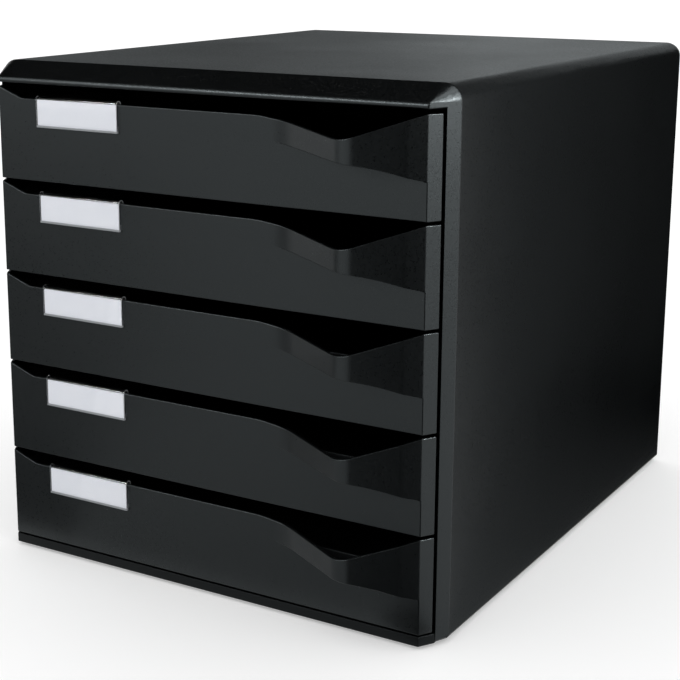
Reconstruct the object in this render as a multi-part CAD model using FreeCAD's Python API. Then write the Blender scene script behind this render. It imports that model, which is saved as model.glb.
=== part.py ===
"""Desktop drawer unit: a moulded case with five drawers that slide out to the front.

The frame has +X to the user's right, +Y from the front to the back and +Z up, in millimetres. The
origin is the centre of the bounding box at the level that the feet stand on, so the drawer fronts
face -Y. Heights inside a drawer are counted from the bottom edge of its front.
"""
import FreeCAD, Part
import math
import os

Vector = FreeCAD.Vector
BACKWARD = Vector(0, 1, 0)

# Case
CASE_WIDTH = 291.0
CASE_DEPTH = 352.0
WALL = 2.5
FACET_WIDTH = 9.8
BEVEL_DEPTH = 16.1
BEVEL_RISE = 8.6
LIP_HEIGHT = 3.0
LIP_THICKNESS = 3.0
JAMB_WIDTH = 4.7
JAMB_DEPTH = 22.0
BOTTOM_CHAMFER = 2.0
CORNER_ROUNDING = 1.6
TOP_RIB_COUNT = 3
TOP_RIB_SPACING = 90.0
TOP_RIB_WIDTH = 2.0
TOP_RIB_HEIGHT = 5.0

# Base and back
BASE_THICKNESS = 3.0
BASE_STRIP_HEIGHT = 5.4
BACK_THICKNESS = 2.5

# Feet
FOOT_HEIGHT = 2.0
FOOT_RADIUS = 8.0
FOOT_INSET_X = 22.0
FOOT_INSET_Y = 30.0
FOOT_SOCKET_DEPTH = 0.8
FOOT_SOCKET_CLEARANCE = 0.2

# Drawer fronts
DRAWER_COUNT = 5
FRONT_HEIGHT = 52.4
FRONT_THICKNESS = 2.2
FRONT_GAP = 1.7
BOTTOM_GAP = 1.0
TOP_GAP = 2.2
SIDE_GAP = 0.6
RIM_DROP = 6.1
RIM_RAMP_LENGTH = 16.7
RIM_RAMP_RADIUS = 12.0

# Grip: a scoop bulging forward, open at the top behind its rim
GRIP_OUT = 17.5
GRIP_FROM_CREASE = 37.3
GRIP_NOSE_RADIUS = 14.0
GRIP_LEFT_ANGLE = 23.4
GRIP_RIGHT_ANGLE = 23.0
GRIP_BLEND_RADIUS = 40.0
GRIP_KNEE_BACK = 8.2
GRIP_KNEE_RADIUS = 12.0
GRIP_DIP_START_FROM_CREASE = 96.8
GRIP_DIP_FROM_CREASE = 38.5
GRIP_DIP = 7.5
GRIP_DIP_START_RADIUS = 60.0
GRIP_DIP_RADIUS = 32.0
GRIP_FLOOR_START_FROM_CREASE = 91.7
GRIP_FLOOR_START_DROP = 12.8
GRIP_FLOOR_BEND_FROM_CREASE = 23.7
GRIP_FLOOR_BEND_DROP = 20.3
GRIP_FLOOR_END_DROP = 26.9
GRIP_FLOOR_RADIUS = 120.0

# Trays
TRAY_WALL = 1.8
TRAY_CORNER_RADIUS = 6.0
TRAY_LIFT = 1.0
TRAY_BELOW_RIM = 4.3
TRAY_FRONT_DROP = 7.0
TRAY_SIDE_GAP = 1.5
TRAY_BACK_GAP = 6.0
FLANGE_THICKNESS = 2.0
FLANGE_START = 6.0
SLIDE_GAP = 0.6
EAR_LENGTH = 8.0

# Hooks that hold a front on its tray
HOOK_WIDTH = 8.0
HOOK_THICKNESS = 1.6
HOOK_BARB = 1.0
HOOK_HEIGHT = 11.0
HOOK_SPACING = 66.0
HOOK_COUNT = 4
HOOK_CLEARANCE = 0.2

# Runners
RUNNER_PLATE = 2.0
RUNNER_GAP = 0.3
RUNNER_TOP_GAP = 0.5
LEDGE_OUT = 8.0
LEDGE_THICKNESS = 2.0
GUIDE_OUT = 5.0
GUIDE_THICKNESS = 1.5
STOP_OUT = 2.2
STOP_START = 24.0
STOP_LENGTH = 4.0
STOP_CLEARANCE = 0.5
BUFFER_LENGTH = 4.0
BUFFER_CLEARANCE = 0.4
WINDOW_COUNT = 3
WINDOW_EDGE = 5.85
WINDOW_MARGIN = 34.0
WINDOW_BAR = 18.0
DRAWER_TRAVEL = 240.0

# Rivets through the back and screws through the base
BOSS_WIDTH = 7.5
BOSS_LENGTH = 10.0
RIVET_COUNT = 3
RIVET_BOSS_HEIGHT = 9.0
RIVET_RADIUS = 1.8
RIVET_HEAD_RADIUS = 3.5
RIVET_HEAD_HEIGHT = 1.0
RIVET_LENGTH = 9.0
SCREW_RADIUS = 1.5
SCREW_LENGTH = 11.0
SCREW_HEAD_RADIUS = 3.0
SCREW_HEAD_HEIGHT = 1.4
SCREW_RECESS_DEPTH = 1.7
SCREW_INSET_FRONT = 60.0
SCREW_INSET_BACK = 60.0
SCREW_BOSS_HEIGHT = 14.0
CROSS_SLOT_WIDTH = 0.8
CROSS_SLOT_LENGTH = 3.6
CROSS_SLOT_DEPTH = 0.8
FASTENER_CLEARANCE = 0.1

# Label holder and card
HOLDER_FROM_CREASE = 28.5
HOLDER_WIDTH = 56.5
HOLDER_DROP = 15.5
HOLDER_SHEET = 0.6
HOLDER_PROUD = 1.5
HOLDER_BACK_LEG = 6.0
HOLDER_FOLD_LEG = 4.0
CARD_MARGIN = 0.6

# Lengths shorter than this are taken as none, and cutting blocks overrun by this much
SAME_PLACE = 0.001
OVERRUN = 1.0

# Worked out from the sizes above
HALF_WIDTH = CASE_WIDTH / 2
HEIGHT_TO_BASE_STRIP = FOOT_HEIGHT + BASE_STRIP_HEIGHT
PITCH = FRONT_HEIGHT + FRONT_GAP
LIP_BOTTOM = HEIGHT_TO_BASE_STRIP + BOTTOM_GAP + DRAWER_COUNT * PITCH - FRONT_GAP + TOP_GAP
LIP_TOP = LIP_BOTTOM + LIP_HEIGHT
CASE_TOP = LIP_TOP + BEVEL_RISE
FRONT_PLANE = GRIP_OUT - (CASE_DEPTH + GRIP_OUT) / 2
BACK_PLANE = FRONT_PLANE + CASE_DEPTH
BEVEL_Y = FRONT_PLANE + BEVEL_DEPTH
CREASE_X = HALF_WIDTH - FACET_WIDTH
FACET_SLOPE = BEVEL_DEPTH / FACET_WIDTH
JAMB_X = HALF_WIDTH - JAMB_WIDTH
JAMB_BACK = FRONT_PLANE + JAMB_DEPTH
INNER_X = HALF_WIDTH - WALL
RUNNER_X = INNER_X - RUNNER_PLATE
BACK_INNER = BACK_PLANE - BACK_THICKNESS
BASE_TOP = FOOT_HEIGHT + BASE_THICKNESS
FRONT_HALF_WIDTH = JAMB_X - SIDE_GAP
RIM_HEIGHT = FRONT_HEIGHT - RIM_DROP
GRIP_X = CREASE_X - GRIP_FROM_CREASE
GRIP_DIP_START_X = CREASE_X - GRIP_DIP_START_FROM_CREASE
GRIP_DIP_X = CREASE_X - GRIP_DIP_FROM_CREASE
GRIP_FLOOR_START_X = CREASE_X - GRIP_FLOOR_START_FROM_CREASE
GRIP_FLOOR_BEND_X = CREASE_X - GRIP_FLOOR_BEND_FROM_CREASE
HOLDER_LEFT_X = HOLDER_FROM_CREASE - CREASE_X
TRAY_FRONT = FRONT_PLANE + FRONT_THICKNESS
TRAY_HALF_WIDTH = RUNNER_X - LEDGE_OUT - TRAY_SIDE_GAP
TRAY_HEIGHT = RIM_HEIGHT - TRAY_BELOW_RIM - TRAY_LIFT
FLANGE_BOTTOM = TRAY_LIFT + TRAY_HEIGHT - FLANGE_THICKNESS
FLANGE_X = RUNNER_X - STOP_OUT - SLIDE_GAP
EAR_X = RUNNER_X - SLIDE_GAP
LEDGE_TOP = FLANGE_BOTTOM - RUNNER_GAP
GUIDE_BOTTOM = TRAY_LIFT + TRAY_HEIGHT + RUNNER_TOP_GAP
STOP_BACK = FRONT_PLANE + STOP_START + STOP_LENGTH
EAR_START = STOP_BACK + DRAWER_TRAVEL + STOP_CLEARANCE
TRAY_BACK = BACK_INNER - TRAY_BACK_GAP
BUFFER_START = TRAY_BACK - TRAY_CORNER_RADIUS + BUFFER_CLEARANCE


def box(low, high):
    """Box between two corner points."""
    size = [high[axis] - low[axis] for axis in range(3)]
    return Part.makeBox(size[0], size[1], size[2], Vector(*low))


def mirrored(shape):
    """The shape on the other side of the plane x = 0."""
    return shape.mirror(Vector(0, 0, 0), Vector(1, 0, 0))


def corner_arc(before, corner, after, radius):
    """Start, middle and end of the arc that rounds one corner of an outline."""
    to_before = (before - corner).normalize()
    to_after = (after - corner).normalize()
    half_angle = to_before.getAngle(to_after) / 2
    bisector = (to_before + to_after).normalize()
    tangent_length = radius / math.tan(half_angle)
    middle = corner + bisector * (radius / math.sin(half_angle) - radius)
    return corner + to_before * tangent_length, middle, corner + to_after * tangent_length


def outline_face(corners):
    """Flat face inside a closed outline of (point, radius) corners."""
    points = [point for point, radius in corners]
    arcs = []
    for index, (point, radius) in enumerate(corners):
        before = points[index - 1]
        after = points[(index + 1) % len(points)]
        arcs.append(corner_arc(before, point, after, radius) if radius else (point, point, point))
    edges = []
    for index, (start, middle, end) in enumerate(arcs):
        if start.distanceToPoint(end) > SAME_PLACE:
            edges.append(Part.Arc(start, middle, end).toShape())
        next_start = arcs[(index + 1) % len(arcs)][0]
        if end.distanceToPoint(next_start) > SAME_PLACE:
            edges.append(Part.LineSegment(end, next_start).toShape())
    return Part.Face(Part.Wire(edges))


def plan_prism(corners, bottom, top):
    """Prism on a plan outline of (x, y, radius) corners."""
    face = outline_face([(Vector(x, y, bottom), radius) for x, y, radius in corners])
    return face.extrude(Vector(0, 0, top - bottom))


def elevation_prism(corners, front, back):
    """Prism on a front-view outline of (x, z, radius) corners."""
    face = outline_face([(Vector(x, front, z), radius) for x, z, radius in corners])
    return face.extrude(Vector(0, back - front, 0))


def section_prism(corners, left, right):
    """Prism on a side-view outline of (y, z, radius) corners."""
    face = outline_face([(Vector(left, y, z), radius) for y, z, radius in corners])
    return face.extrude(Vector(right - left, 0, 0))


def polyhedron(faces):
    """Solid bounded by flat faces, each a list of corner points."""
    shells = [Part.Face(Part.makePolygon(corners + [corners[0]])) for corners in faces]
    return Part.Solid(Part.Shell(shells))


def drawer_bottom(index):
    """Height of the bottom edge of a drawer front, counting from the top drawer."""
    return HEIGHT_TO_BASE_STRIP + BOTTOM_GAP + (DRAWER_COUNT - 1 - index) * PITCH


def facet_y(x):
    """Depth of the slanted corner facet at a given x."""
    return FRONT_PLANE + (x - CREASE_X) * FACET_SLOPE


def quarter_ellipse(side, inset, y):
    """Edge of the rounded top corner of the case, drawn in by inset, from the side to the top."""
    centre = Vector(side * CREASE_X, y, LIP_TOP)
    out = Vector(side * (FACET_WIDTH - inset), 0, 0)
    up = Vector(0, 0, BEVEL_RISE - inset)
    curve = Part.BezierCurve()
    curve.setPoles([centre + out, centre + out + up, centre + up])
    curve.setWeight(2, math.sqrt(0.5))
    return curve.toShape()


def case_section(inset, bottom, chamfer, front, back):
    """Block with the cross-section of the case, drawn in by inset at the sides and the top."""
    side_x = HALF_WIDTH - inset
    top = CASE_TOP - inset
    left = quarter_ellipse(-1, inset, front)
    right = quarter_ellipse(1, inset, front)
    corners = [
        Vector(side_x, front, LIP_TOP),
        Vector(side_x, front, bottom + chamfer),
        Vector(side_x - chamfer, front, bottom),
        Vector(chamfer - side_x, front, bottom),
        Vector(-side_x, front, bottom + chamfer),
        Vector(-side_x, front, LIP_TOP),
    ]
    edges = [right]
    edges += [Part.LineSegment(a, b).toShape() for a, b in zip(corners, corners[1:]) if a != b]
    edges.append(left)
    edges.append(Part.LineSegment(Vector(-CREASE_X, front, top), Vector(CREASE_X, front, top)).toShape())
    face = Part.Face(Part.Wire(Part.__sortEdges__(edges)))
    return face.extrude(Vector(0, back - front, 0))


def bevel_corner():
    """Right corner of the front bevel: the slanted facet and the cone above it."""
    crease_low = Vector(CREASE_X, FRONT_PLANE, FOOT_HEIGHT)
    crease_high = Vector(CREASE_X, FRONT_PLANE, LIP_TOP)
    side_high = Vector(HALF_WIDTH, BEVEL_Y, LIP_TOP)
    side_low = Vector(HALF_WIDTH, BEVEL_Y, FOOT_HEIGHT + BOTTOM_CHAMFER)
    under = Vector(HALF_WIDTH - BOTTOM_CHAMFER, BEVEL_Y, FOOT_HEIGHT)
    inner_low = Vector(CREASE_X, BEVEL_Y, FOOT_HEIGHT)
    inner_high = Vector(CREASE_X, BEVEL_Y, LIP_TOP)
    facet = polyhedron([
        [crease_low, side_low, side_high, crease_high],
        [crease_low, under, side_low],
        [crease_low, inner_low, under],
        [crease_high, side_high, inner_high],
        [crease_low, crease_high, inner_high, inner_low],
        [inner_low, inner_high, side_high, side_low, under],
    ])
    top = Vector(CREASE_X, BEVEL_Y, CASE_TOP)
    rim = Part.Wire([
        Part.LineSegment(inner_high, side_high).toShape(),
        quarter_ellipse(1, 0, BEVEL_Y),
        Part.LineSegment(top, inner_high).toShape(),
    ])
    cone = Part.makeLoft([Part.Vertex(crease_high), rim], True, True)
    return facet.fuse(cone)


def case_block():
    """Outside of the case as one solid block."""
    block = case_section(0, FOOT_HEIGHT, BOTTOM_CHAMFER, BEVEL_Y, BACK_PLANE)
    wedge = section_prism([
        (FRONT_PLANE, FOOT_HEIGHT, 0),
        (FRONT_PLANE, LIP_TOP, 0),
        (BEVEL_Y, CASE_TOP, 0),
        (BEVEL_Y, FOOT_HEIGHT, 0),
    ], -CREASE_X, CREASE_X)
    corner = bevel_corner()
    return block.multiFuse([wedge, corner, mirrored(corner)]).removeSplitter()


def rounded_block():
    """The case block with the edge between its bevel and its top and sides rounded."""
    block = case_block()
    rim = []
    for edge in block.Edges:
        bounds = edge.BoundBox
        flat = bounds.YLength < 0.001 and abs(bounds.YMin - BEVEL_Y) < 0.001
        if flat and bounds.ZMax > FOOT_HEIGHT + BOTTOM_CHAMFER + 0.001:
            rim.append(edge)
    return block.makeFillet(CORNER_ROUNDING, rim)


def make_case_shell():
    """Top, sides and front frame of the case, one moulding that is open below and behind."""
    below = FOOT_HEIGHT - OVERRUN
    inside = case_section(WALL, below, 0, JAMB_BACK, BACK_PLANE + OVERRUN)
    doorway = box((-JAMB_X, FRONT_PLANE - OVERRUN, below), (JAMB_X, JAMB_BACK, LIP_BOTTOM))
    slope = math.hypot(BEVEL_DEPTH, BEVEL_RISE)
    slope_wall = WALL * slope / BEVEL_DEPTH
    lip_back = FRONT_PLANE + LIP_THICKNESS
    hollow_low = LIP_TOP - slope_wall + LIP_THICKNESS * BEVEL_RISE / BEVEL_DEPTH
    hollow_top = CASE_TOP - WALL
    hollow_y = lip_back + (hollow_top - hollow_low) * BEVEL_DEPTH / BEVEL_RISE
    hollow = section_prism([
        (lip_back, LIP_BOTTOM - OVERRUN, 0),
        (lip_back, hollow_low, 0),
        (hollow_y, hollow_top, 0),
        (JAMB_BACK + OVERRUN, hollow_top, 0),
        (JAMB_BACK + OVERRUN, LIP_BOTTOM - OVERRUN, 0),
    ], -CREASE_X, CREASE_X)
    shell = rounded_block().cut(inside).cut(doorway).cut(hollow)
    ribs = []
    for index in range(TOP_RIB_COUNT):
        x = (index - (TOP_RIB_COUNT - 1) / 2) * TOP_RIB_SPACING
        ribs.append(box(
            (x - TOP_RIB_WIDTH / 2, JAMB_BACK, CASE_TOP - WALL - TOP_RIB_HEIGHT),
            (x + TOP_RIB_WIDTH / 2, BACK_INNER, CASE_TOP - WALL),
        ))
    return shell.multiFuse(ribs).removeSplitter()


def foot_places():
    """Name and centre of each foot."""
    x = HALF_WIDTH - FOOT_INSET_X
    front = FRONT_PLANE + FOOT_INSET_Y
    back = BACK_PLANE - FOOT_INSET_Y
    return {
        "foot_front_left": (-x, front),
        "foot_front_right": (x, front),
        "foot_back_left": (-x, back),
        "foot_back_right": (x, back),
    }


def screw_places():
    """Centres of the screws under the base."""
    x = RUNNER_X - BOSS_WIDTH / 2
    front = FRONT_PLANE + SCREW_INSET_FRONT
    back = BACK_PLANE - SCREW_INSET_BACK
    return [(side * x, y) for side in (-1, 1) for y in (front, back)]


def rivet_places():
    """Centres of the rivets in the back panel."""
    x = RUNNER_X - BOSS_WIDTH / 2
    places = []
    for index in range(RIVET_COUNT):
        level = 1 + index * (DRAWER_COUNT - 2) / (RIVET_COUNT - 1)
        z = drawer_bottom(DRAWER_COUNT - 1) + level * PITCH
        places += [(-x, z), (x, z)]
    return places


def make_base_panel():
    """Floor of the case, with the strip that shows below the bottom drawer."""
    right = [
        (CREASE_X, FRONT_PLANE, 0),
        (JAMB_X, facet_y(JAMB_X), 0),
        (JAMB_X, JAMB_BACK, 0),
        (INNER_X, JAMB_BACK, 0),
        (INNER_X, BACK_PLANE, 0),
    ]
    left = [(-x, y, radius) for x, y, radius in reversed(right)]
    floor = plan_prism(right + left, FOOT_HEIGHT, BASE_TOP)
    inner_y = FRONT_PLANE + WALL
    strip = plan_prism([
        (-CREASE_X, FRONT_PLANE, 0),
        (CREASE_X, FRONT_PLANE, 0),
        (JAMB_X, facet_y(JAMB_X), 0),
        (JAMB_X, facet_y(JAMB_X) + WALL, 0),
        (CREASE_X - WALL, inner_y, 0),
        (WALL - CREASE_X, inner_y, 0),
        (-JAMB_X, facet_y(JAMB_X) + WALL, 0),
        (-JAMB_X, facet_y(JAMB_X), 0),
    ], FOOT_HEIGHT, HEIGHT_TO_BASE_STRIP)
    panel = floor.fuse(strip)
    for x, y in foot_places().values():
        radius = FOOT_RADIUS + FOOT_SOCKET_CLEARANCE
        panel = panel.cut(Part.makeCylinder(radius, FOOT_SOCKET_DEPTH, Vector(x, y, FOOT_HEIGHT)))
    for x, y in screw_places():
        foot = Vector(x, y, FOOT_HEIGHT)
        panel = panel.cut(Part.makeCylinder(SCREW_RADIUS + FASTENER_CLEARANCE, BASE_THICKNESS, foot))
        recess = Part.makeCylinder(SCREW_HEAD_RADIUS + FASTENER_CLEARANCE, SCREW_RECESS_DEPTH, foot)
        panel = panel.cut(recess)
    return panel.removeSplitter()


def make_back_panel():
    """Panel that closes the back, held between the top, the sides and the base."""
    panel = case_section(WALL, BASE_TOP, 0, BACK_INNER, BACK_PLANE)
    for x, z in rivet_places():
        start = Vector(x, BACK_INNER, z)
        panel = panel.cut(Part.makeCylinder(
            RIVET_RADIUS + FASTENER_CLEARANCE, BACK_THICKNESS, start, BACKWARD))
        panel = panel.cut(Part.makeCylinder(
            RIVET_HEAD_RADIUS + FASTENER_CLEARANCE, RIVET_HEAD_HEIGHT,
            Vector(x, BACK_PLANE - RIVET_HEAD_HEIGHT, z), BACKWARD))
    return panel


def make_foot(x, y):
    """Rubber pad seated in a socket of the base."""
    return Part.makeCylinder(FOOT_RADIUS, FOOT_HEIGHT + FOOT_SOCKET_DEPTH, Vector(x, y, 0))


def make_right_runner():
    """Plate inside the right wall that carries the drawers on ledges."""
    plate = box((RUNNER_X, JAMB_BACK, BASE_TOP), (INNER_X, BACK_INNER, LIP_TOP))
    parts = []
    for index in range(DRAWER_COUNT):
        bottom = drawer_bottom(index)
        ledge_top = bottom + LEDGE_TOP
        guide_bottom = bottom + GUIDE_BOTTOM
        parts.append(box(
            (RUNNER_X - LEDGE_OUT, JAMB_BACK, ledge_top - LEDGE_THICKNESS),
            (RUNNER_X, BACK_INNER, ledge_top)))
        parts.append(box(
            (RUNNER_X - GUIDE_OUT, JAMB_BACK, guide_bottom),
            (RUNNER_X, BACK_INNER, guide_bottom + GUIDE_THICKNESS)))
        parts.append(box(
            (RUNNER_X - STOP_OUT, STOP_BACK - STOP_LENGTH, ledge_top),
            (RUNNER_X, STOP_BACK, guide_bottom)))
        parts.append(box(
            (RUNNER_X - GUIDE_OUT, BUFFER_START, ledge_top),
            (RUNNER_X, BUFFER_START + BUFFER_LENGTH, guide_bottom)))
    for x, y in screw_places():
        if x > 0:
            parts.append(box(
                (RUNNER_X - BOSS_WIDTH, y - BOSS_LENGTH / 2, BASE_TOP),
                (RUNNER_X, y + BOSS_LENGTH / 2, BASE_TOP + SCREW_BOSS_HEIGHT)))
    for x, z in rivet_places():
        if x > 0:
            parts.append(box(
                (RUNNER_X - BOSS_WIDTH, BACK_INNER - BOSS_LENGTH, z - RIVET_BOSS_HEIGHT / 2),
                (RUNNER_X, BACK_INNER, z + RIVET_BOSS_HEIGHT / 2)))
    runner = plate.multiFuse(parts)
    for x, y in screw_places():
        hole = Part.makeCylinder(SCREW_RADIUS, SCREW_LENGTH, Vector(x, y, BASE_TOP))
        runner = runner.cut(hole)
    for x, z in rivet_places():
        start = Vector(x, BACK_PLANE - RIVET_LENGTH, z)
        runner = runner.cut(Part.makeCylinder(RIVET_RADIUS, RIVET_LENGTH, start, BACKWARD))
    window_span = BACK_INNER - JAMB_BACK - 2 * WINDOW_MARGIN + WINDOW_BAR
    window_step = window_span / WINDOW_COUNT
    for index in range(DRAWER_COUNT):
        low = drawer_bottom(index) + WINDOW_EDGE
        high = drawer_bottom(index) + LEDGE_TOP - LEDGE_THICKNESS - WINDOW_EDGE
        for window in range(WINDOW_COUNT):
            start = JAMB_BACK + WINDOW_MARGIN + window * window_step
            runner = runner.cut(box(
                (RUNNER_X, start, low),
                (INNER_X, start + window_step - WINDOW_BAR, high)))
    return runner.removeSplitter()


def make_base_screws():
    """Screws that hold the base to the runners, one solid each."""
    screws = []
    head_z = FOOT_HEIGHT + SCREW_RECESS_DEPTH - SCREW_HEAD_HEIGHT
    for x, y in screw_places():
        head = Part.makeCylinder(SCREW_HEAD_RADIUS, SCREW_HEAD_HEIGHT, Vector(x, y, head_z))
        shank_length = SCREW_LENGTH + BASE_TOP - head_z - SCREW_HEAD_HEIGHT
        shank = Part.makeCylinder(SCREW_RADIUS, shank_length, Vector(x, y, head_z + SCREW_HEAD_HEIGHT))
        screw = head.fuse(shank)
        for long_x, long_y in ((1, 0), (0, 1)):
            half_x = (CROSS_SLOT_LENGTH if long_x else CROSS_SLOT_WIDTH) / 2
            half_y = (CROSS_SLOT_LENGTH if long_y else CROSS_SLOT_WIDTH) / 2
            screw = screw.cut(box(
                (x - half_x, y - half_y, head_z),
                (x + half_x, y + half_y, head_z + CROSS_SLOT_DEPTH)))
        screws.append(screw)
    return Part.makeCompound(screws)


def make_back_rivets():
    """Push rivets that hold the back panel to the runners, one solid each."""
    rivets = []
    for x, z in rivet_places():
        tip = Vector(x, BACK_PLANE - RIVET_LENGTH, z)
        under_head = Vector(x, BACK_PLANE - RIVET_HEAD_HEIGHT, z)
        shank = Part.makeCylinder(RIVET_RADIUS, RIVET_LENGTH, tip, BACKWARD)
        head = Part.makeCylinder(RIVET_HEAD_RADIUS, RIVET_HEAD_HEIGHT, under_head, BACKWARD)
        rivets.append(shank.fuse(head).removeSplitter())
    return Part.makeCompound(rivets)


def grip_corners():
    """Plan of the grip's outer face: start, nose, knee and crease as (x, y, radius)."""
    left = math.radians(GRIP_LEFT_ANGLE)
    right = math.radians(GRIP_RIGHT_ANGLE)
    centre_y = FRONT_PLANE - GRIP_OUT + GRIP_NOSE_RADIUS
    left_x = GRIP_X - GRIP_NOSE_RADIUS * math.sin(left)
    left_y = centre_y - GRIP_NOSE_RADIUS * math.cos(left)
    right_x = GRIP_X + GRIP_NOSE_RADIUS * math.sin(right)
    right_y = centre_y - GRIP_NOSE_RADIUS * math.cos(right)
    start_x = left_x - (FRONT_PLANE - left_y) / math.tan(left)
    nose_x = left_x + ((right_x - left_x) * math.tan(right) - right_y + left_y) / (
        math.tan(left) + math.tan(right))
    nose_y = left_y - (nose_x - left_x) * math.tan(left)
    knee_x = CREASE_X - GRIP_KNEE_BACK
    knee_y = right_y + (knee_x - right_x) * math.tan(right)
    return [
        (start_x, FRONT_PLANE, GRIP_BLEND_RADIUS),
        (nose_x, nose_y, GRIP_NOSE_RADIUS),
        (knee_x, knee_y, GRIP_KNEE_RADIUS),
        (CREASE_X, FRONT_PLANE, 0),
    ]


def rim_corners(bottom):
    """Top edge of a drawer front in front view, from its right end to its left end."""
    rim = bottom + RIM_HEIGHT
    return [
        (FRONT_HALF_WIDTH + OVERRUN, bottom + FRONT_HEIGHT, 0),
        (CREASE_X, bottom + FRONT_HEIGHT, 0),
        (GRIP_DIP_X, rim - GRIP_DIP, GRIP_DIP_RADIUS),
        (GRIP_DIP_START_X, rim, GRIP_DIP_START_RADIUS),
        (RIM_RAMP_LENGTH - CREASE_X, rim, RIM_RAMP_RADIUS),
        (-CREASE_X, bottom + FRONT_HEIGHT, 0),
        (-FRONT_HALF_WIDTH - OVERRUN, bottom + FRONT_HEIGHT, 0),
    ]


def grip_space(bottom, lift):
    """Everything above the grip's underside, raised by lift, in front view."""
    rim = bottom + RIM_HEIGHT + lift
    start_z = rim - GRIP_FLOOR_START_DROP
    bend_z = rim - GRIP_FLOOR_BEND_DROP
    end_z = rim - GRIP_FLOOR_END_DROP
    top = bottom + PITCH
    front = FRONT_PLANE - GRIP_OUT - OVERRUN
    return elevation_prism([
        (GRIP_FLOOR_START_X, start_z, 0),
        (GRIP_FLOOR_BEND_X, bend_z, GRIP_FLOOR_RADIUS),
        (CREASE_X, end_z, 0),
        (CREASE_X, top, 0),
        (GRIP_FLOOR_START_X, top, 0),
    ], front, TRAY_FRONT + OVERRUN)


def grip_prism(bottom):
    """Block with the plan of the grip, reaching back through the front."""
    corners = grip_corners()
    back = TRAY_FRONT + FRONT_THICKNESS + OVERRUN
    tail_x = GRIP_FLOOR_START_X
    outline = [(tail_x, FRONT_PLANE, 0)] + corners + [(CREASE_X, back, 0), (tail_x, back, 0)]
    return plan_prism(outline, bottom, bottom + PITCH)


def make_drawer_front(index):
    """Front of a drawer with its scoop grip and the hooks that hold it on the tray."""
    bottom = drawer_bottom(index)
    facet_length = math.hypot(1, FACET_SLOPE)
    shift_x = FRONT_THICKNESS * FACET_SLOPE / facet_length
    shift_y = FRONT_THICKNESS / facet_length
    inner_crease = CREASE_X - FRONT_THICKNESS * math.tan(math.atan(FACET_SLOPE) / 2)
    right = [
        (inner_crease, TRAY_FRONT, 0),
        (FRONT_HALF_WIDTH - shift_x, facet_y(FRONT_HALF_WIDTH) + shift_y, 0),
        (FRONT_HALF_WIDTH, facet_y(FRONT_HALF_WIDTH), 0),
        (CREASE_X, FRONT_PLANE, 0),
    ]
    left = [(-x, y, radius) for x, y, radius in reversed(right)]
    slab = plan_prism(right + left, bottom, bottom + FRONT_HEIGHT)
    bulge = grip_prism(bottom).common(grip_space(bottom, 0))
    pocket_plan = plan_prism(pocket_outline(), bottom, bottom + PITCH)
    pocket = pocket_plan.common(grip_space(bottom, FRONT_THICKNESS))
    behind = box((GRIP_FLOOR_START_X, TRAY_FRONT, bottom), (CREASE_X, JAMB_BACK, bottom + PITCH))
    solid = slab.fuse(bulge.cut(behind)).cut(pocket)
    half_width = FRONT_HALF_WIDTH + OVERRUN
    below_rim = elevation_prism(
        [(-half_width, bottom, 0), (half_width, bottom, 0)] + rim_corners(bottom),
        FRONT_PLANE - GRIP_OUT - OVERRUN, JAMB_BACK)
    solid = solid.common(below_rim)
    hooks = [hook(x, bottom) for x in hook_places()]
    return solid.multiFuse(hooks).removeSplitter()


def pocket_outline():
    """Plan of the hollow inside the grip, a wall's thickness inside its outer face."""
    start, nose, knee, crease = grip_corners()
    outer = [(GRIP_FLOOR_START_X, FRONT_PLANE), start[:2], nose[:2], knee[:2], crease[:2]]
    lines = []
    for (ax, ay), (bx, by) in zip(outer, outer[1:]):
        length = math.hypot(bx - ax, by - ay)
        shift = (-(by - ay) / length * FRONT_THICKNESS, (bx - ax) / length * FRONT_THICKNESS)
        lines.append(((ax + shift[0], ay + shift[1]), (bx - ax, by - ay)))
    inner = [crossing(first, second) for first, second in zip(lines, lines[1:])]
    back = TRAY_FRONT + OVERRUN
    start_x = inner[0][0]
    end_x, end_y = inner[2]
    return [
        (start_x, inner[0][1], 0),
        (inner[1][0], inner[1][1], GRIP_NOSE_RADIUS - FRONT_THICKNESS),
        (end_x, end_y, 0),
        (CREASE_X - FRONT_THICKNESS, TRAY_FRONT, 0),
        (CREASE_X - FRONT_THICKNESS, back, 0),
        (start_x, back, 0),
    ]


def crossing(first, second):
    """Point where two lines meet, each given as (point, direction)."""
    (ax, ay), (ux, uy) = first
    (bx, by), (vx, vy) = second
    reach = ((bx - ax) * vy - (by - ay) * vx) / (ux * vy - uy * vx)
    return ax + reach * ux, ay + reach * uy


def hook_places():
    """Places across the front of the hooks that hold it on the tray."""
    return [(place - (HOOK_COUNT - 1) / 2) * HOOK_SPACING for place in range(HOOK_COUNT)]


def hook(x, bottom):
    """One hook on the back of a drawer front, reaching through the tray's front wall."""
    top = bottom + HOOK_HEIGHT
    tip = TRAY_FRONT + TRAY_WALL + HOOK_CLEARANCE + HOOK_BARB
    return section_prism([
        (TRAY_FRONT, top - HOOK_THICKNESS, 0),
        (tip, top - HOOK_THICKNESS, 0),
        (tip, top, 0),
        (tip - HOOK_BARB, top + HOOK_BARB, 0),
        (tip - HOOK_BARB, top, 0),
        (TRAY_FRONT, top, 0),
    ], x - HOOK_WIDTH / 2, x + HOOK_WIDTH / 2)


def tray_plan(inset):
    """Plan of the tray's walls, drawn in by inset."""
    x = TRAY_HALF_WIDTH - inset
    front = TRAY_FRONT + inset
    back = TRAY_BACK - inset
    radius = TRAY_CORNER_RADIUS - inset
    return [(-x, front, radius), (x, front, radius), (x, back, radius), (-x, back, radius)]


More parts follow.
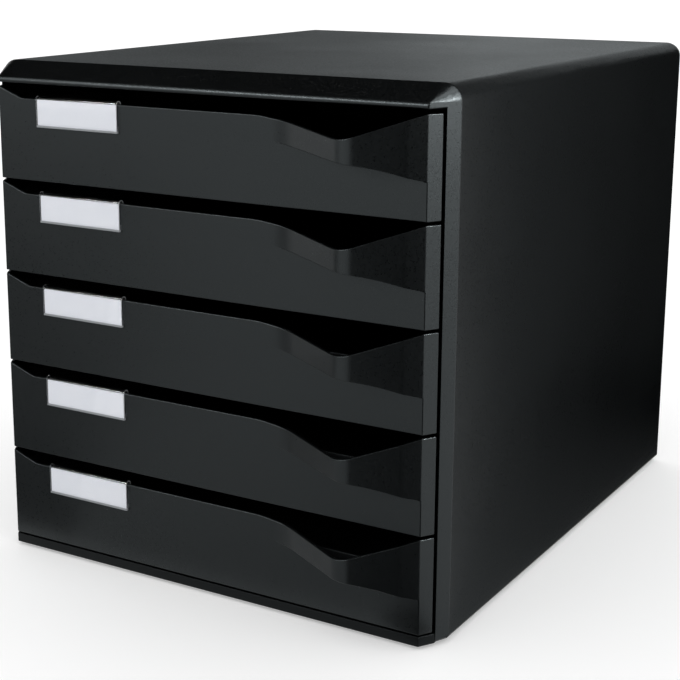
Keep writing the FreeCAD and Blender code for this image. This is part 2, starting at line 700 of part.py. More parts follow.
def make_drawer_tray(index):
    """Open tray of a drawer, with the side flanges it slides on and the ears that stop it."""
    bottom = drawer_bottom(index)
    low = bottom + TRAY_LIFT
    high = low + TRAY_HEIGHT
    outer = plan_prism(tray_plan(0), low, high)
    parts = []
    for side in (-1, 1):
        inner, outer_x = sorted((side * (TRAY_HALF_WIDTH - TRAY_WALL), side * FLANGE_X))
        parts.append(box(
            (inner, FRONT_PLANE + FLANGE_START + TRAY_CORNER_RADIUS, bottom + FLANGE_BOTTOM),
            (outer_x, TRAY_BACK - TRAY_CORNER_RADIUS, high)))
        inner, outer_x = sorted((side * FLANGE_X, side * EAR_X))
        parts.append(box(
            (inner, EAR_START, bottom + FLANGE_BOTTOM),
            (outer_x, EAR_START + EAR_LENGTH, high)))
    tray = outer.multiFuse(parts)
    tray = tray.cut(plan_prism(tray_plan(TRAY_WALL), low + TRAY_WALL, high + OVERRUN))
    clear = TRAY_HALF_WIDTH - TRAY_CORNER_RADIUS
    tray = tray.cut(box(
        (-clear, TRAY_FRONT - OVERRUN, high - TRAY_FRONT_DROP),
        (clear, TRAY_FRONT + TRAY_WALL + OVERRUN, high + OVERRUN)))
    for x in hook_places():
        half_slot = HOOK_WIDTH / 2 + HOOK_CLEARANCE
        slot_top = bottom + HOOK_HEIGHT + HOOK_CLEARANCE
        slot_bottom = slot_top - HOOK_THICKNESS - 2 * HOOK_CLEARANCE
        tray = tray.cut(box(
            (x - half_slot, TRAY_FRONT - OVERRUN, slot_bottom),
            (x + half_slot, TRAY_FRONT + TRAY_WALL + OVERRUN, slot_top)))
    return tray.removeSplitter()


def make_label_holder(index):
    """Clear strip hooked over the rim, folded up at its foot to hold a card."""
    rim = drawer_bottom(index) + RIM_HEIGHT
    front = FRONT_PLANE - HOLDER_PROUD
    back = TRAY_FRONT + HOLDER_SHEET
    bend = (back - front) / 2
    top = rim + bend
    foot = rim - HOLDER_DROP
    return section_prism([
        (front, foot, 0),
        (front, top, bend),
        (back, top, bend),
        (back, rim - HOLDER_BACK_LEG, 0),
        (TRAY_FRONT, rim - HOLDER_BACK_LEG, 0),
        (TRAY_FRONT, top - HOLDER_SHEET, bend - HOLDER_SHEET),
        (front + HOLDER_SHEET, top - HOLDER_SHEET, bend - HOLDER_SHEET),
        (front + HOLDER_SHEET, foot + HOLDER_SHEET, 0),
        (FRONT_PLANE - HOLDER_SHEET / 2, foot + HOLDER_SHEET, 0),
        (FRONT_PLANE - HOLDER_SHEET / 2, foot + HOLDER_FOLD_LEG, 0),
        (FRONT_PLANE, foot + HOLDER_FOLD_LEG, 0),
        (FRONT_PLANE, foot, 0),
    ], HOLDER_LEFT_X, HOLDER_LEFT_X + HOLDER_WIDTH)


def make_label_card(index):
    """Card standing in the fold of the label holder."""
    rim = drawer_bottom(index) + RIM_HEIGHT
    front = FRONT_PLANE - HOLDER_PROUD + HOLDER_SHEET
    return box(
        (HOLDER_LEFT_X + CARD_MARGIN, front, rim - HOLDER_DROP + HOLDER_SHEET),
        (HOLDER_LEFT_X + HOLDER_WIDTH - CARD_MARGIN, FRONT_PLANE - HOLDER_SHEET / 2, rim))


def all_pieces():
    """Every piece of the unit by its node name."""
    right_runner = make_right_runner()
    pieces = {
        "case_shell": make_case_shell(),
        "base_panel": make_base_panel(),
        "back_panel": make_back_panel(),
        "right_runner": right_runner,
        "left_runner": mirrored(right_runner),
        "base_screws": make_base_screws(),
        "back_rivets": make_back_rivets(),
    }
    for name, (x, y) in foot_places().items():
        pieces[name] = make_foot(x, y)
    for index in range(DRAWER_COUNT):
        drawer = "drawer_%d" % (index + 1)
        pieces[drawer + "_tray"] = make_drawer_tray(index)
        pieces[drawer + "_front"] = make_drawer_front(index)
        pieces[drawer + "_label_holder"] = make_label_holder(index)
        pieces[drawer + "_label_card"] = make_label_card(index)
    return pieces


os.makedirs("parts", exist_ok=True)
for name, shape in all_pieces().items():
    print(name, "valid" if shape.isValid() else "NOT VALID", len(shape.Solids), "solids")
    shape.exportStep("parts/" + name + ".step")
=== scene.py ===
import math

import bpy
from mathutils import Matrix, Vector


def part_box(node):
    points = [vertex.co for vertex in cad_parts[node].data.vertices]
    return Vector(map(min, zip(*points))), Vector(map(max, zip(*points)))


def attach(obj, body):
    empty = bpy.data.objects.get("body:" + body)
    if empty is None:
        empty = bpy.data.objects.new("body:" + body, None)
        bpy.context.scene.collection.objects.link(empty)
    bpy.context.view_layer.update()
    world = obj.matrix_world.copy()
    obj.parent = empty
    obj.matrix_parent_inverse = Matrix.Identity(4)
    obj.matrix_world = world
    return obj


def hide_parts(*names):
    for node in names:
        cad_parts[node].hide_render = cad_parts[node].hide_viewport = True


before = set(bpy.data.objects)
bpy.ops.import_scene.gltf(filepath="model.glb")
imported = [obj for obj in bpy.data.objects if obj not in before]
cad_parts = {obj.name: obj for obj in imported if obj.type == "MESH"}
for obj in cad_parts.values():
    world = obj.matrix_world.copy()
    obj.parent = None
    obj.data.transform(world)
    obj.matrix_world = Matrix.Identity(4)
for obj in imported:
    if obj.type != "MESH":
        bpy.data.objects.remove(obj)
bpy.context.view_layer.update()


# Camera. A long lens a little above the unit, looking at its right front corner from the right.
# The small shift of the lens keeps the uprights of the case closer to parallel in the picture.
bpy.ops.object.camera_add(
    location=(0.4582, -0.8158, 0.3589),
    rotation=(math.radians(76.84), 0, math.radians(31.57)),
)
camera = bpy.context.object
camera.name = "product_camera"
camera.data.lens = 80.35
camera.data.shift_x = 0.07
camera.data.shift_y = -0.07
bpy.context.scene.camera = camera
bpy.context.scene.view_settings.view_transform = "Standard"


# Case. One injection moulding of black polystyrene makes the top, the sides and the front frame.
# Its skin has the fine spark-eroded grain of the mould. The front frame and the outer edges are
# slightly rounded, and the lip over the drawers has a rounder top edge.
def new_group(name, inputs, outputs):
    """Empty shader node group. An input without a value is a vector, all others are numbers."""
    group = bpy.data.node_groups.new(name, "ShaderNodeTree")
    for label, value in inputs.items():
        kind = "NodeSocketVector" if value is None else "NodeSocketFloat"
        socket = group.interface.new_socket(label, in_out="INPUT", socket_type=kind)
        if value is not None:
            socket.default_value = value
    for label in outputs:
        group.interface.new_socket(label, in_out="OUTPUT", socket_type="NodeSocketFloat")
    start = group.nodes.new("NodeGroupInput")
    end = group.nodes.new("NodeGroupOutput")
    return group, start, end


def feed(tree, socket, value):
    """Sets a socket to a number, or links another socket to it."""
    if isinstance(value, (int, float)):
        socket.default_value = value
    else:
        tree.links.new(value, socket)


def noise(tree, vector, scale, detail, roughness=0.5):
    """Noise texture in a tree, with its scale a socket or a number."""
    node = tree.nodes.new("ShaderNodeTexNoise")
    tree.links.new(vector, node.inputs["Vector"])
    feed(tree, node.inputs["Scale"], scale)
    node.inputs["Detail"].default_value = detail
    node.inputs["Roughness"].default_value = roughness
    return node.outputs["Fac"]


def calc(tree, operation, first, second):
    """Math node in a tree, each side a socket or a number."""
    node = tree.nodes.new("ShaderNodeMath")
    node.operation = operation
    feed(tree, node.inputs[0], first)
    feed(tree, node.inputs[1], second)
    return node.outputs["Value"]


def spread(tree, value, start, end, low=0.3, high=0.7):
    """Value mapped from low..high, between which most of a noise lies, to start..end."""
    node = tree.nodes.new("ShaderNodeMapRange")
    tree.links.new(value, node.inputs["Value"])
    node.inputs["From Min"].default_value = low
    node.inputs["From Max"].default_value = high
    node.inputs["To Min"].default_value = start
    node.inputs["To Max"].default_value = end
    return node.outputs["Result"]


# The grain is two sizes of fine pitting, and the mottle is the slow change of gloss where the melt
# cooled at different speeds.
BROAD_PIT_SCALE = 0.37
BROAD_PIT_WEIGHT = 0.25
mould_grain, start, end = new_group(
    "mould_grain", {"Vector": None, "Pitting": 1500.0}, ["Height", "Mottle"]
)
place = start.outputs["Vector"]
pitting = start.outputs["Pitting"]
fine_pits = noise(mould_grain, place, scale=pitting, detail=2.0)
broad_pitting = calc(mould_grain, "MULTIPLY", pitting, BROAD_PIT_SCALE)
broad_pits = noise(mould_grain, place, scale=broad_pitting, detail=1.0)
weighted = calc(mould_grain, "MULTIPLY", broad_pits, BROAD_PIT_WEIGHT)
mould_grain.links.new(calc(mould_grain, "ADD", fine_pits, weighted), end.inputs["Height"])
cooling = noise(mould_grain, place, scale=7.0, detail=3.0, roughness=0.6)
mould_grain.links.new(spread(mould_grain, cooling, 0.0, 1.0), end.inputs["Mottle"])


# Dust settles thinly in specks and slow drifts on what faces up.
settled_dust, start, end = new_group("settled_dust", {"Vector": None}, ["Mask"])
facing = settled_dust.nodes.new("ShaderNodeNewGeometry")
facing_parts = settled_dust.nodes.new("ShaderNodeSeparateXYZ")
settled_dust.links.new(facing.outputs["Normal"], facing_parts.inputs["Vector"])
upward = spread(settled_dust, facing_parts.outputs["Z"], 0.0, 1.0, low=0.6, high=1.0)
place = start.outputs["Vector"]
specks = noise(settled_dust, place, scale=900.0, detail=2.0)
specks = spread(settled_dust, specks, 0.0, 1.0, low=0.55, high=0.8)
drifts = noise(settled_dust, place, scale=14.0, detail=3.0)
thickness = calc(settled_dust, "MULTIPLY", specks, drifts)
settled_dust.links.new(calc(settled_dust, "MULTIPLY", thickness, upward), end.inputs["Mask"])


def new_material(name):
    """Material with its tree, its shader and the coordinates of the piece that wears it."""
    material = bpy.data.materials.new(name)
    material.use_nodes = True
    tree = material.node_tree
    place = tree.nodes.new("ShaderNodeTexCoord").outputs["Object"]
    return material, tree, tree.nodes["Principled BSDF"], place


def blend_colour(tree, mask, dark, light):
    """Mix of two colours by a mask, each a socket or an RGB triple."""
    node = tree.nodes.new("ShaderNodeMix")
    node.data_type = "RGBA"
    tree.links.new(mask, node.inputs["Factor"])
    for socket, value in ((node.inputs[6], dark), (node.inputs[7], light)):
        if isinstance(value, tuple):
            socket.default_value = (*value, 1.0)
        else:
            tree.links.new(value, socket)
    return node.outputs[2]


def add_relief(tree, surface, height, strength, depth):
    """Fine relief on a shader, from a height over the surface."""
    bump = tree.nodes.new("ShaderNodeBump")
    bump.inputs["Strength"].default_value = strength
    bump.inputs["Distance"].default_value = depth
    tree.links.new(height, bump.inputs["Height"])
    tree.links.new(bump.outputs["Normal"], surface.inputs["Normal"])


DUST_GREY = (0.16, 0.155, 0.15)
DUST_COVER = 0.25
MOTTLE_SWING = 0.03
PIT_SWING = 0.08
COOL_SHEEN = (0.86, 0.97, 1.0, 1.0)


def moulded_plastic(name, dark, light, gloss, pitting, depth, shine):
    """Injection-moulded plastic with its grain, a slow mottle and a little dust."""
    material, tree, surface, place = new_material(name)
    grain = tree.nodes.new("ShaderNodeGroup")
    grain.node_tree = mould_grain
    grain.inputs["Pitting"].default_value = pitting
    tree.links.new(place, grain.inputs["Vector"])
    dust = tree.nodes.new("ShaderNodeGroup")
    dust.node_tree = settled_dust
    tree.links.new(place, dust.inputs["Vector"])
    mottle = grain.outputs["Mottle"]
    dust_share = calc(tree, "MULTIPLY", dust.outputs["Mask"], DUST_COVER)
    colour = blend_colour(tree, dust_share, blend_colour(tree, mottle, dark, light), DUST_GREY)
    tree.links.new(colour, surface.inputs["Base Color"])
    slow = spread(tree, mottle, gloss - MOTTLE_SWING, gloss + MOTTLE_SWING, low=0.0, high=1.0)
    fine = spread(tree, grain.outputs["Height"], -PIT_SWING, PIT_SWING, low=0.35, high=0.9)
    roughness = calc(tree, "ADD", calc(tree, "ADD", slow, dust_share), fine)
    tree.links.new(roughness, surface.inputs["Roughness"])
    surface.inputs["Specular IOR Level"].default_value = shine
    surface.inputs["Specular Tint"].default_value = COOL_SHEEN
    add_relief(tree, surface, grain.outputs["Height"], strength=1.0, depth=depth)
    return material


def only_selected(piece):
    """Selects one object alone and makes it the active one."""
    bpy.ops.object.select_all(action="DESELECT")
    piece.select_set(True)
    bpy.context.view_layer.objects.active = piece


SAME_POINT = 0.000002
FLAT_WITHIN = math.radians(0.3)


def skin_of(node):
    """Copy of a CAD piece's mesh as one merged surface, selected and shaded smooth."""
    piece = bpy.data.objects.new(node + "_skin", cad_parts[node].data.copy())
    bpy.context.scene.collection.objects.link(piece)
    only_selected(piece)
    bpy.ops.object.mode_set(mode="EDIT")
    bpy.ops.mesh.select_all(action="SELECT")
    bpy.ops.mesh.customdata_custom_splitnormals_clear()
    bpy.ops.mesh.remove_doubles(threshold=SAME_POINT)
    bpy.ops.mesh.dissolve_limited(angle_limit=FLAT_WITHIN)
    bpy.ops.object.mode_set(mode="OBJECT")
    bpy.ops.object.shade_smooth()
    return piece


def weigh_normals(piece):
    """Keeps the flat faces of the active piece even in tone next to its narrow roundings."""
    bpy.ops.object.modifier_add(type="WEIGHTED_NORMAL")
    bpy.ops.object.modifier_apply(modifier=piece.modifiers[-1].name)


def finish_skin(piece, node, body, material):
    """Gives a skin its material and lets it stand for the CAD piece on its body."""
    piece.data.materials.clear()
    piece.data.materials.append(material)
    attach(piece, body)
    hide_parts(node)


SHARP_EDGE = 26


def rounded_copy(node, body, material, rounding, sharper_than=SHARP_EDGE):
    """Skin of a CAD piece with its edges rounded that are sharper than an angle in degrees."""
    piece = skin_of(node)
    bpy.ops.object.modifier_add(type="BEVEL")
    edges = piece.modifiers[-1]
    edges.width = rounding
    edges.segments = 2
    edges.limit_method = "ANGLE"
    edges.angle_limit = math.radians(sharper_than)
    edges.use_clamp_overlap = False
    edges.harden_normals = True
    bpy.ops.object.modifier_apply(modifier=edges.name)
    finish_skin(piece, node, body, material)
    return piece


case_black = moulded_plastic(
    "case_black", dark=(0.0016, 0.0018, 0.0020), light=(0.0026, 0.0029, 0.0032),
    gloss=0.33, pitting=1200.0, depth=0.000009, shine=0.42,
)
FRAME_DEPTH = 0.0161
SHOULDER_WIDTH = 0.0098
SHOULDER_RISE = 0.0086
ON_FACE = 0.0002
ON_SIDE_WALL = 0.02
ON_OUTER_SKIN = 0.95
case_skin = skin_of("case_shell")
case_low, case_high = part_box("case_shell")


def round_where(test, rounding, segments):
    """Rounds the sharp edges of the case whose two ends pass a test."""
    bpy.ops.object.mode_set(mode="EDIT")
    bpy.ops.mesh.select_mode(type="EDGE")
    bpy.ops.mesh.select_all(action="DESELECT")
    bpy.ops.mesh.edges_select_sharp(sharpness=math.radians(SHARP_EDGE))
    bpy.ops.object.mode_set(mode="OBJECT")
    skin = case_skin.data
    chosen = [
        edge.index for edge in skin.edges
        if edge.select and all(test(skin.vertices[end].co) for end in edge.vertices)
    ]
    bpy.ops.object.mode_set(mode="EDIT")
    bpy.ops.mesh.select_all(action="DESELECT")
    bpy.ops.object.mode_set(mode="OBJECT")
    for place in chosen:
        skin.edges[place].select = True
    bpy.ops.object.mode_set(mode="EDIT")
    bpy.ops.mesh.bevel(offset=rounding, segments=segments, affect="EDGES")
    bpy.ops.object.mode_set(mode="OBJECT")


def on_lip(place):
    """Whether a point is on the top edge of the lip over the drawers."""
    above_lip = place.z - (case_high.z - SHOULDER_RISE)
    return place.y < case_low.y + ON_FACE and abs(above_lip) < ON_FACE


def on_outside(place):
    """Whether a point is on the front frame or on the outer face of the case."""
    across = (abs(place.x) - case_high.x) / SHOULDER_WIDTH + 1
    up = (place.z - case_high.z) / SHOULDER_RISE + 1
    frame_depth = FRAME_DEPTH if across > ON_SIDE_WALL else 0
    on_frame = place.y < case_low.y + frame_depth + ON_FACE
    return on_frame or math.hypot(max(across, 0), max(up, 0)) > ON_OUTER_SKIN


round_where(on_lip, rounding=0.0016, segments=4)
round_where(on_outside, rounding=0.0008, segments=2)
weigh_normals(case_skin)
finish_skin(case_skin, "case_shell", "case", case_black)


# Base, back and runners. Plain mouldings of the same black. The base clips in below, the back
# closes the rear in the finish of the case, and the runners inside the walls carry the drawers.
inside_black = moulded_plastic(
    "inside_black", dark=(0.0022, 0.0024, 0.0026), light=(0.0034, 0.0037, 0.0040),
    gloss=0.42, pitting=1100.0, depth=0.000008, shine=0.15,
)
rounded_copy("base_panel", "case", inside_black, rounding=0.0003)
rounded_copy("back_panel", "case", case_black, rounding=0.0003)
for side in ("left", "right"):
    rounded_copy(side + "_runner", "case", inside_black, rounding=0.0002)


# Drawer trays. Thin-walled open mouldings with slide flanges along both sides, semi-matt inside and
# out so that paper slides in without sticking.
tray_black = moulded_plastic(
    "tray_black", dark=(0.0058, 0.0062, 0.0067), light=(0.0082, 0.0087, 0.0094),
    gloss=0.44, pitting=1300.0, depth=0.000010, shine=0.20,
)
DRAWERS = ["drawer_1", "drawer_2", "drawer_3", "drawer_4", "drawer_5"]
for drawer in DRAWERS:
    rounded_copy(drawer + "_tray", drawer, tray_black, rounding=0.0003)


# Drawer fronts. Each is a moulded panel with a scoop grip, hooked on its tray. They come from
# another mould than the case, with a trace deeper grain, and the soft creases of the grip are
# rounded as well as its edges.
CREASE = 12
front_black = moulded_plastic(
    "front_black", dark=(0.0018, 0.0020, 0.0022), light=(0.0028, 0.0031, 0.0034),
    gloss=0.33, pitting=1200.0, depth=0.000010, shine=0.42,
)
for drawer in DRAWERS:
    rounded_copy(
        drawer + "_front", drawer, front_black,
        rounding=0.0005, sharper_than=CREASE,
    )


# Label holders. A strip of clear acrylic is heated and folded: a curl hooks over the rim of the
# drawer front and a small fold at the foot holds the card.
def vary(tree, surface, pattern, dark, light, smooth, rough):
    """Lets the colour and roughness of a shader follow a pattern over the surface."""
    tree.links.new(blend_colour(tree, pattern, dark, light), surface.inputs["Base Color"])
    tree.links.new(spread(tree, pattern, smooth, rough), surface.inputs["Roughness"])


ACRYLIC_IOR = 1.49
clear_acrylic, tree, surface, place = new_material("clear_acrylic")
surface.inputs["Transmission Weight"].default_value = 1.0
surface.inputs["IOR"].default_value = ACRYLIC_IOR
handling = noise(tree, place, scale=60.0, detail=3.0)
vary(tree, surface, handling, (0.93, 0.95, 0.97), (0.97, 0.98, 0.99), smooth=0.02, rough=0.07)

# Light reaches the card through the strip unbent, so that the card behind it stays bright.
rays = tree.nodes.new("ShaderNodeLightPath")
unbent = calc(tree, "MAXIMUM", rays.outputs["Is Shadow Ray"], rays.outputs["Is Diffuse Ray"])
open_to_light = tree.nodes.new("ShaderNodeBsdfTransparent")
through = tree.nodes.new("ShaderNodeMixShader")
tree.links.new(unbent, through.inputs["Fac"])
tree.links.new(surface.outputs["BSDF"], through.inputs[1])
tree.links.new(open_to_light.outputs["BSDF"], through.inputs[2])
tree.links.new(through.outputs["Shader"], tree.nodes["Material Output"].inputs["Surface"])

# The cut ends are frosted by the saw and look milky. The fold at the foot gets the same milky grey
# as painted light, the glow of light carried along the bent strip.
FOLD_HEIGHT = 0.0011
frosted_ends_and_glow, tree, surface, place = new_material("frosted_ends_and_glow")
surface.inputs["Transmission Weight"].default_value = 0.35
surface.inputs["IOR"].default_value = ACRYLIC_IOR
saw_marks = noise(tree, place, scale=900.0, detail=3.0)
vary(tree, surface, saw_marks, (0.30, 0.32, 0.34), (0.44, 0.46, 0.48), smooth=0.35, rough=0.55)
for drawer in DRAWERS:
    holder = rounded_copy(
        drawer + "_label_holder", drawer, clear_acrylic, rounding=0.0001
    )
    holder.data.materials.append(frosted_ends_and_glow)
    low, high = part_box(drawer + "_label_holder")
    fold_top = low.z + FOLD_HEIGHT
    only_selected(holder)
    bpy.ops.object.mode_set(mode="EDIT")
    bpy.ops.mesh.select_all(action="SELECT")
    bpy.ops.mesh.bisect(plane_co=(0, 0, fold_top), plane_no=(0, 0, 1))
    bpy.ops.object.mode_set(mode="OBJECT")
    # Cut ends take the frost, and the fold takes the painted glow.
    for face in holder.data.polygons:
        is_cut_end = abs(face.normal.x) > 0.5
        if is_cut_end or face.center.z < fold_top:
            face.material_index = 1
    weigh_normals(holder)


# Label cards. Blank white card, cut to the holder and pushed down into its fold. The sheet is stiff
# and stands flat with a little play, and its corners are softly worn.
CARD_SHEET = 0.00050
CARD_PLAY = 0.0001
CARD_CORNER = 0.0005
card_white, tree, surface, place = new_material("card_white")
fibres = noise(tree, place, scale=2600.0, detail=4.0, roughness=0.7)
clouds = noise(tree, place, scale=120.0, detail=2.0)
paper = blend_colour(tree, clouds, (0.80, 0.81, 0.86), (0.84, 0.85, 0.89))
tree.links.new(paper, surface.inputs["Base Color"])
tree.links.new(spread(tree, fibres, 0.65, 0.8), surface.inputs["Roughness"])
surface.inputs["Specular IOR Level"].default_value = 0.3
add_relief(tree, surface, fibres, strength=0.6, depth=0.00002)
for drawer in DRAWERS:
    low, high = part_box(drawer + "_label_card")
    size = high - low
    bpy.ops.object.select_all(action="DESELECT")
    bpy.ops.mesh.primitive_cube_add(
        size=1, location=(low + high) / 2, scale=(size.x, CARD_SHEET, size.z - CARD_PLAY)
    )
    card = bpy.context.object
    card.name = drawer + "_card"
    bpy.ops.object.transform_apply(location=True, rotation=True, scale=True)
    bpy.ops.object.mode_set(mode="EDIT")
    bpy.ops.mesh.select_all(action="DESELECT")
    bpy.ops.object.mode_set(mode="OBJECT")
    for edge in card.data.edges:
        ends = [card.data.vertices[place].co for place in edge.vertices]
        edge.select = abs(ends[0].y - ends[1].y) > CARD_SHEET / 2
    bpy.ops.object.mode_set(mode="EDIT")
    bpy.ops.mesh.bevel(offset=CARD_CORNER, segments=4, affect="EDGES")
    bpy.ops.object.mode_set(mode="OBJECT")
    card.data.materials.append(card_white)
    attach(card, drawer)
    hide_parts(drawer + "_label_card")


# Feet. Round pads of black rubber pressed into sockets in the base, dull, with the fine bloom that
# rubber gets as it ages.
foot_rubber, tree, surface, place = new_material("foot_rubber")
bloom = noise(tree, place, scale=220.0, detail=4.0, roughness=0.6)
vary(tree, surface, bloom, (0.012, 0.012, 0.012), (0.028, 0.027, 0.026), smooth=0.72, rough=0.88)
surface.inputs["Specular IOR Level"].default_value = 0.3
for corner in ("front_left", "front_right", "back_left", "back_right"):
    rounded_copy("foot_" + corner, "case", foot_rubber, rounding=0.0005)


# Fasteners. Zinc-plated screws hold the base to the runners from below, and black push rivets hold
# the back panel.
screw_zinc, tree, surface, place = new_material("screw_zinc")
surface.inputs["Metallic"].default_value = 1.0
plating = noise(tree, place, scale=700.0, detail=4.0, roughness=0.6)
vary(tree, surface, plating, (0.42, 0.43, 0.44), (0.62, 0.63, 0.65), smooth=0.25, rough=0.42)
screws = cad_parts["base_screws"]
screws.data.materials.clear()
screws.data.materials.append(screw_zinc)
rounded_copy("back_rivets", "case", inside_black, rounding=0.00025)


# Studio. A wide white table under even light from a white room, with lamps for the front corner
# and the rims. Glowing panels that only the gloss sees stand around the unit: painted reflections
# on the plastic.
def seen_rays(tree):
    """1 for the rays that show the background itself, 0 for those that light the unit."""
    rays = tree.nodes.new("ShaderNodeLightPath")
    seen = calc(tree, "MAXIMUM", rays.outputs["Is Camera Ray"], rays.outputs["Is Glossy Ray"])
    return calc(tree, "MAXIMUM", seen, rays.outputs["Is Transmission Ray"])


WHITE = (1.0, 1.0, 1.0, 1.0)
LIFT_TO_WHITE = 0.32
table_white, tree, surface, _ = new_material("table_white")
surface.inputs["Base Color"].default_value = (0.80, 0.80, 0.80, 1.0)
surface.inputs["Roughness"].default_value = 0.9
surface.inputs["Specular IOR Level"].default_value = 0.0
surface.inputs["Emission Color"].default_value = WHITE
lift = calc(tree, "MULTIPLY", seen_rays(tree), LIFT_TO_WHITE)
tree.links.new(lift, surface.inputs["Emission Strength"])
bpy.ops.object.select_all(action="DESELECT")
bpy.ops.mesh.primitive_plane_add(size=60, location=(0, 0, 0))
table = bpy.context.object
table.name = "table_top"
table.data.materials.append(table_white)

# The room lights the unit evenly. It is white to the camera, and in reflections it is light low
# down and dark overhead.
LOW_WALL = 0.8
world = bpy.data.worlds.new("studio_room")
bpy.context.scene.world = world
world.use_nodes = True
world.cycles.sampling_method = "NONE"
tree = world.node_tree
room_light = tree.nodes["Background"]
room_light.inputs["Color"].default_value = WHITE
room_light.inputs["Strength"].default_value = 1.0
direction = tree.nodes.new("ShaderNodeTexCoord").outputs["Generated"]
direction_parts = tree.nodes.new("ShaderNodeSeparateXYZ")
tree.links.new(direction, direction_parts.inputs["Vector"])
dim_ceiling = spread(tree, direction_parts.outputs["Z"], LOW_WALL, 0.0, low=0.25, high=0.42)
to_camera = tree.nodes.new("ShaderNodeLightPath").outputs["Is Camera Ray"]
seen_room = tree.nodes.new("ShaderNodeBackground")
seen_room.inputs["Color"].default_value = WHITE
tree.links.new(calc(tree, "MAXIMUM", dim_ceiling, to_camera), seen_room.inputs["Strength"])
room = tree.nodes.new("ShaderNodeMixShader")
tree.links.new(seen_rays(tree), room.inputs["Fac"])
tree.links.new(room_light.outputs["Background"], room.inputs[1])
tree.links.new(seen_room.outputs["Background"], room.inputs[2])
tree.links.new(room.outputs["Shader"], tree.nodes["World Output"].inputs["Surface"])


def ramp(tree, place, axis, stops):
    """Value that follows stops of place and value along an axis."""
    start, end = stops[0][0], stops[-1][0]
    curve = tree.nodes.new("ShaderNodeValToRGB")
    share = spread(tree, place.outputs[axis], 0.0, 1.0, low=start, high=end)
    tree.links.new(share, curve.inputs["Fac"])
    elements = curve.color_ramp.elements
    for element, (_, value) in zip((elements[0], elements[-1]), (stops[0], stops[-1])):
        element.color = (value, value, value, 1.0)
    for where, value in stops[1:-1]:
        elements.new((where - start) / (end - start)).color = (value, value, value, 1.0)
    return curve.outputs["Color"]


def upright(near, far, near_height, far_height):
    """Corners of a panel that stands on the table between two places on it."""
    return [(*near, 0), (*far, 0), (*far, far_height), (*near, near_height)]


def laid(corners, layer):
    """Corners of a panel that lies on the table, or on the panels of the layers below it."""
    return [(*corner, 0.0005 * layer) for corner in corners]


# Colour of the glow of the painted reflection panels.
PANEL_GLOW_COLOUR = (0.92, 0.98, 1.0, 1.0)
EVEN = ("Z", [(0.0, 1.0), (1.0, 1.0)])


def reflection_panel(name, corners, glow, glow_across=EVEN, cover=EVEN):
    """Painted reflection: a panel that only the gloss sees. Its glow and cover follow an axis and
    stops.
    """
    bpy.ops.object.select_all(action="DESELECT")
    bpy.ops.mesh.primitive_plane_add(size=1, location=(0, 0, 0))
    reflector = bpy.context.object
    reflector.name = name
    for place, corner in zip(reflector.data.polygons[0].vertices, corners):
        reflector.data.vertices[place].co = corner
    reflector.visible_camera = False
    reflector.visible_diffuse = False
    reflector.visible_transmission = False
    reflector.visible_shadow = False
    material, tree, surface, coordinates = new_material(name)
    tree.nodes.remove(surface)
    place = tree.nodes.new("ShaderNodeSeparateXYZ")
    tree.links.new(coordinates, place.inputs["Vector"])
    # Painted reflection: the panel glows by its ramps, and only glossy rays see it.
    shine = tree.nodes.new("ShaderNodeEmission")
    shine.inputs["Color"].default_value = PANEL_GLOW_COLOUR
    strength = calc(tree, "MULTIPLY", ramp(tree, place, *glow), ramp(tree, place, *glow_across))
    tree.links.new(strength, shine.inputs["Strength"])
    see_through = tree.nodes.new("ShaderNodeBsdfTransparent")
    part_showing = tree.nodes.new("ShaderNodeMixShader")
    tree.links.new(ramp(tree, place, *cover), part_showing.inputs["Fac"])
    tree.links.new(see_through.outputs["BSDF"], part_showing.inputs[1])
    tree.links.new(shine.outputs["Emission"], part_showing.inputs[2])
    tree.links.new(part_showing.outputs["Shader"], tree.nodes["Material Output"].inputs["Surface"])
    reflector.data.materials.append(material)


# Beside the unit: painted reflection for its right side, lighter towards the front.
FAR = 2.5
BESIDE_CASE = 0.147
BEFORE_CASE = -0.19
SIDE_NEAR, SIDE_FAR = (0.27, 0.04), (0.40, FAR)
reflection_panel(
    "side_reflection_panel", upright(SIDE_NEAR, SIDE_FAR, 1.0, 1.5),
    glow=("Y", [(0.04, 0.145), (0.7, 0.0)]),
)
reflection_panel(
    "side_floor_reflection_panel",
    laid([(BESIDE_CASE, -0.155), SIDE_NEAR, SIDE_FAR, (BESIDE_CASE, FAR)], layer=1),
    glow=("Y", [(-0.155, 0.22), (0.0, 0.10), (0.3, 0.0)]),
)

# In front of the right corner: a nearly black painted reflection for the right flanks of the grips.
FRONT_NEAR, FRONT_FAR = (0.14, -0.60), (0.66, -0.36)
reflection_panel(
    "front_reflection_panel", upright(FRONT_NEAR, FRONT_FAR, 0.7, 0.7),
    glow=("Z", [(0.0, 0.03), (0.7, 0.03)]),
)
reflection_panel(
    "front_floor_reflection_panel",
    laid([(0.10, BEFORE_CASE), (0.16, -0.16), FRONT_FAR, FRONT_NEAR], layer=1),
    glow=("Y", [(-0.6, 0.03), (BEFORE_CASE, 0.03)]),
)

# Far behind: painted reflection for the top, light in the middle heights and lighter to the right.
reflection_panel(
    "back_reflection_panel", upright((-3.2, FAR), (0.40, FAR), 3.0, 3.0),
    glow=("Z", [(0.46, 0.0), (0.56, 0.42), (0.75, 0.65), (1.0, 0.35), (1.4, 0.02)]),
    glow_across=("X", [
        (-2.4, 0.85), (-1.8, 0.64), (-1.5, 0.77), (-1.26, 1.0), (-1.0, 1.6), (-0.8, 1.4),
    ]),
)
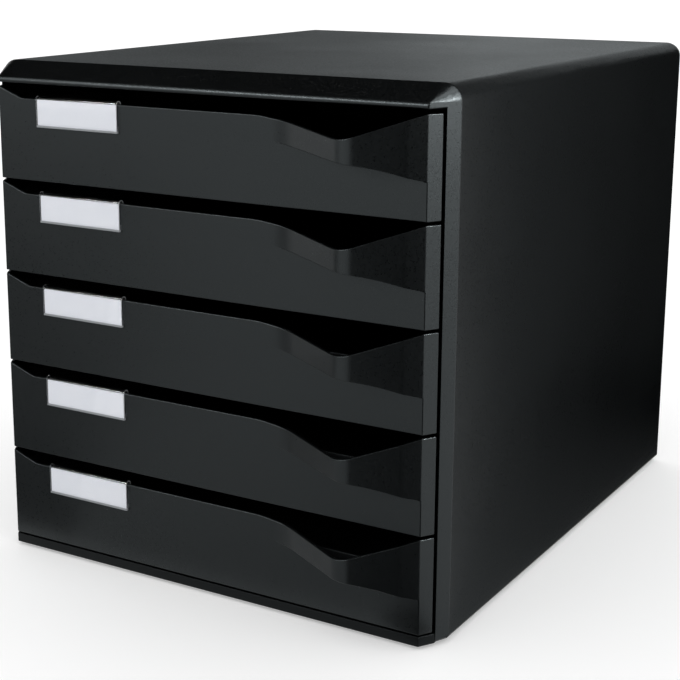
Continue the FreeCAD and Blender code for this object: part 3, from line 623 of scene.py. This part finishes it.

# On the table before the unit and to its left: painted reflection for the drawer fronts, darker
# towards the unit.
FRONT_GLOW = 0.115
reflection_panel(
    "near_floor_reflection_panel",
    laid([(-2.5, -1.4), (0.10, -1.4), (0.10, BEFORE_CASE), (-2.5, BEFORE_CASE)], layer=2),
    glow=("Y", [(-1.4, FRONT_GLOW), (BEFORE_CASE, FRONT_GLOW)]),
    cover=("Y", [(-1.4, 0.0), (BEFORE_CASE, 0.48)]),
)
reflection_panel(
    "left_floor_reflection_panel",
    laid([(-0.11, BEFORE_CASE), (-1.5, -2.1), (-2.8, -1.9), (-0.25, BEFORE_CASE)], layer=3),
    glow=("Y", [(-2.1, FRONT_GLOW), (BEFORE_CASE, FRONT_GLOW)]),
    cover=("Y", [(-2.1, 0.90), (BEFORE_CASE, 0.90)]),
)

# Lamps. They light only the gloss, so a lamp shows as a highlight and leaves the cards alone.
WATTS_FOR_RADIANCE = 4


def soft_lamp(name, place, aim, size, radiance):
    """Area lamp aimed at a point, with its width and height and the brightness of its face."""
    bpy.ops.object.light_add(type="AREA", location=place)
    lamp = bpy.context.object
    lamp.name = name
    lamp.data.shape = "RECTANGLE"
    lamp.data.size, lamp.data.size_y = size
    lamp.data.energy = WATTS_FOR_RADIANCE * radiance * size[0] * size[1]
    lamp.visible_diffuse = False
    away = lamp.location - Vector(aim)
    lamp.rotation_euler = away.to_track_quat("Z", "Y").to_euler()


soft_lamp(
    "right_lamp", place=(1.3, -0.20, 0.42), aim=(0.14, -0.16, 0.25),
    size=(0.4, 0.4), radiance=5.0,
)
soft_lamp(
    "corner_lamp", place=(1.3, -0.17, 0.52), aim=(0.14, -0.17, 0.27),
    size=(0.22, 0.12), radiance=80.0,
)
soft_lamp(
    "high_right_lamp", place=(1.24, -0.22, 0.97), aim=(0.14, -0.16, 0.28),
    size=(0.5, 0.35), radiance=12.0,
)
soft_lamp(
    "overhead_right_lamp", place=(0.72, -0.16, 1.44), aim=(0.14, -0.16, 0.28),
    size=(0.7, 0.7), radiance=4.0,
)
soft_lamp(
    "front_left_lamp", place=(-0.8, -1.5, 1.0), aim=(0.0, -0.17, 0.2),
    size=(0.8, 0.5), radiance=10.0,
)
